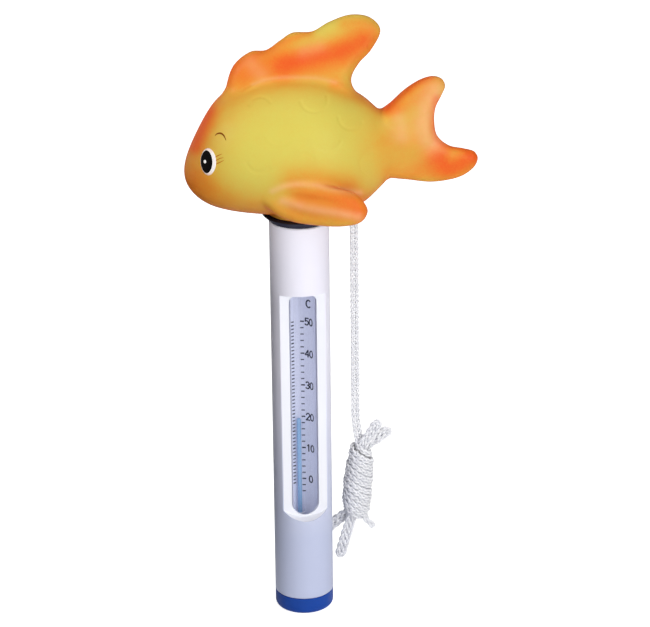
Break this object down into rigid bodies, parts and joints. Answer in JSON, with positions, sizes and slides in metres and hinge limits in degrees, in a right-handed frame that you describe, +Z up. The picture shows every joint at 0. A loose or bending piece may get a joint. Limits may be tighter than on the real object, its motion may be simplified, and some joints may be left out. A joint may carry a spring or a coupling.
{
  "type": "floating pool thermometer",
  "caption": "Floating pool thermometer: hollow fish float on a windowed tube that holds a sealed liquid thermometer, with a weighted foot and a tether cord.",
  "frame": {"origin": "centre of the bottom cap's flat underside, on the tube's axis", "axes": "+Z up along the tube; the fish lies in the XZ plane and looks along -X; the window faces -Y, turned 7.5 degrees towards +X"},
  "size_m": [0.1155, 0.057, 0.2543],
  "materials": {
    "white_abs": "moulded gloss",
    "blue_plastic": "satin gloss",
    "navy_plastic": "satin gloss",
    "seal_rubber": "matte",
    "ballast_steel": "turned",
    "grey_foam": "closed-cell foam",
    "white_foam": "closed-cell foam",
    "collar_plastic": "moulded",
    "fish_vinyl": "soft sprayed vinyl",
    "neck_plastic": "moulded",
    "clear_plastic": "clear extruded plastic",
    "clear_stopper": "moulded",
    "card_paper": "printed card",
    "capillary_glass": "drawn glass",
    "clip_wire": "bright wire",
    "blue_spirit": "dyed liquid",
    "white_cord": "braided nylon"
  },
  "bodies": {
    "case": {"outer_tube": "white_abs", "bottom_cap": "blue_plastic", "bottom_seal": "seal_rubber", "ballast_weight": "ballast_steel", "ballast_pad": "grey_foam", "lower_collar": "collar_plastic", "upper_collar": "collar_plastic", "top_cap": "navy_plastic", "top_seal": "seal_rubber"},
    "fish": {"fish_float": "fish_vinyl", "neck_plug": "neck_plastic"},
    "thermometer": {"clear_tube": "clear_plastic", "tube_stopper": "clear_stopper", "bulb_pad": "white_foam", "scale_card": "card_paper", "capillary_glass": "capillary_glass", "capillary_clips": "clip_wire", "bulb_spirit": "blue_spirit"},
    "spirit": {"spirit_column": "blue_spirit"},
    "tether_top": {"cord_loop": "white_cord"},
    "tether_line": {"cord_drop": "white_cord"},
    "tether_hank": {"cord_hank": "white_cord"}
  },
  "joints": [
    {"name": "fish_swivel", "type": "hinge", "parent": "case", "child": "fish", "pos_m": [0, 0, 0.18], "axis": [0, 0, 1], "continuous": true},
    {"name": "insert_turn", "type": "hinge", "parent": "case", "child": "thermometer", "pos_m": [0, 0, 0.09], "axis": [0, 0, 1], "continuous": true},
    {"name": "spirit_rise", "type": "slide", "parent": "thermometer", "child": "spirit", "axis": [0, 0, 1], "range_m": [-0.028, 0.042], "stiffness_N_per_m": 30, "deforming": ["spirit_column"]},
    {"name": "cord_swing", "type": "hinge", "parent": "case", "child": "tether_top", "pos_m": [0.02217, 0.0128, 0.1696], "axis": [0.5, -0.866, 0], "range_deg": [0, 75]},
    {"name": "cord_sway", "type": "hinge", "parent": "tether_top", "child": "tether_line", "pos_m": [0.02217, 0.0128, 0.1599], "axis": [0.866, 0.5, 0], "range_deg": [-60, 60]},
    {"name": "hank_swing", "type": "hinge", "parent": "tether_line", "child": "tether_hank", "pos_m": [0.02217, 0.0128, 0.076], "axis": [0.5, -0.866, 0], "range_deg": [-3, 45]}
  ]
}
